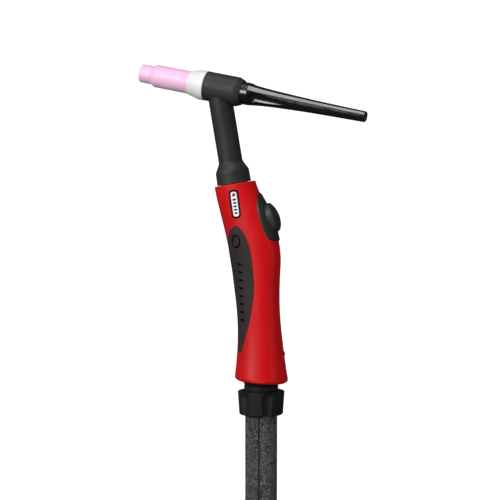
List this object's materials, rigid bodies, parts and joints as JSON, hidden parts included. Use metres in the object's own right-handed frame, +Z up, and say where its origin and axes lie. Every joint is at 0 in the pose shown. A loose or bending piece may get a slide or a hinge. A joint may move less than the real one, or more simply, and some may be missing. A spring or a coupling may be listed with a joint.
{
  "type": "tig torch",
  "caption": "Hand-held TIG welding torch with a red grip, trigger, long back cap, ceramic nozzle, ball joint and a leather-covered hose package put away in a coil.",
  "frame": {"origin": "centre of the hand grip, on the vertical axis of the cable nut", "axes": "+Z up along the grip, +X towards the trigger and the back cap, +Y across the handle"},
  "size_m": [0.3468, 0.3485, 0.5366],
  "materials": {
    "alumina": "satin fired ceramic",
    "white_insulator": "smooth",
    "copper": "turned copper",
    "brass": "turned brass",
    "plug_contact": "turned brass",
    "head_rubber": "matte moulded",
    "cap_phenolic": "glossy",
    "seal_rubber": "smooth",
    "red_plastic": "satin moulded",
    "screw_steel": "zinc plated",
    "grip_rubber": "soft matte",
    "label_black": "gloss",
    "label_white": "gloss",
    "trigger_plastic": "satin",
    "spring_steel": "drawn wire",
    "switch_plastic": "moulded",
    "lead_jacket": "smooth jacket",
    "swivel_nylon": "satin",
    "nut_nylon": "satin",
    "leather": "grained, one sewn seam",
    "plug_rubber": "matte moulded"
  },
  "bodies": {
    "root": {"collet_body": "copper", "head_core": "brass", "neck_tube": "brass", "power_union_nut": "brass", "plug_pin": "plug_contact", "control_pins": "plug_contact", "head_insulation": "head_rubber", "handle_shell_left": "red_plastic", "handle_shell_right": "red_plastic", "handle_screws": "screw_steel", "grip_inlay_left": "grip_rubber", "grip_inlay_right": "grip_rubber", "label_frame": "label_black", "label_plate": "label_white", "trigger_bezel": "trigger_plastic", "trigger_spring": "spring_steel", "switch_carrier": "switch_plastic", "microswitch": "switch_plastic", "power_cable": "lead_jacket", "control_lead": "lead_jacket", "control_tail": "lead_jacket", "cable_cover": "leather", "cable_coil": "leather", "cable_tail": "leather", "plug_boot": "plug_rubber", "plug_body": "plug_rubber", "control_plug": "plug_rubber"},
    "nozzle_travel": {"insulator_ring": "white_insulator"},
    "nozzle": {"gas_nozzle": "alumina"},
    "cap_travel": {"collet": "copper", "cap_o_ring": "seal_rubber"},
    "cap": {"back_cap": "cap_phenolic"},
    "trigger": {"trigger_button": "trigger_plastic", "switch_plunger": "switch_plastic"},
    "swivel": {"swivel_ball": "swivel_nylon"},
    "nut_travel": {"clamp_ring": "swivel_nylon"},
    "nut": {"cable_nut": "nut_nylon"}
  },
  "joints": [
    {"name": "nozzle_travel", "type": "slide", "parent": "root", "child": "nozzle_travel", "axis": [-0.9848, 0, 0.1736], "range_m": [0, 0.006]},
    {"name": "nozzle_turn", "type": "hinge", "parent": "nozzle_travel", "child": "nozzle", "pos_m": [-0.0352, 0, 0.1559], "axis": [-0.9848, 0, 0.1736], "range_deg": [0, 1440.01]},
    {"name": "cap_travel", "type": "slide", "parent": "root", "child": "cap_travel", "axis": [0.9848, 0, -0.1736], "range_m": [0, 0.004]},
    {"name": "cap_turn", "type": "hinge", "parent": "cap_travel", "child": "cap", "pos_m": [-0.0352, 0, 0.1559], "axis": [0.9848, 0, -0.1736], "range_deg": [0, 1440.01]},
    {"name": "trigger_press", "type": "slide", "parent": "root", "child": "trigger", "axis": [-0.9272, 0, -0.3746], "range_m": [0, 0.0016], "stiffness_N_per_m": 900, "springref_m": -0.001, "deforming": ["trigger_spring"]},
    {"name": "swivel_tilt", "type": "hinge", "parent": "root", "child": "swivel", "pos_m": [0, 0, -0.0635], "axis": [0, 1, 0], "range_deg": [-6, 11], "deforming": ["cable_cover", "power_cable", "control_lead"]},
    {"name": "nut_travel", "type": "slide", "parent": "swivel", "child": "nut_travel", "axis": [0, 0, -1], "range_m": [0, 0.008]},
    {"name": "nut_turn", "type": "hinge", "parent": "nut_travel", "child": "nut", "pos_m": [0, 0, -0.0776], "axis": [0, 0, -1], "range_deg": [0, 1440.01]}
  ],
  "couplings": [
    {"joint": "nozzle_turn", "follows": "nozzle_travel", "rad_per_m": 4188.8},
    {"joint": "cap_turn", "follows": "cap_travel", "rad_per_m": 6283.2},
    {"joint": "nut_turn", "follows": "nut_travel", "rad_per_m": 3141.6}
  ]
}
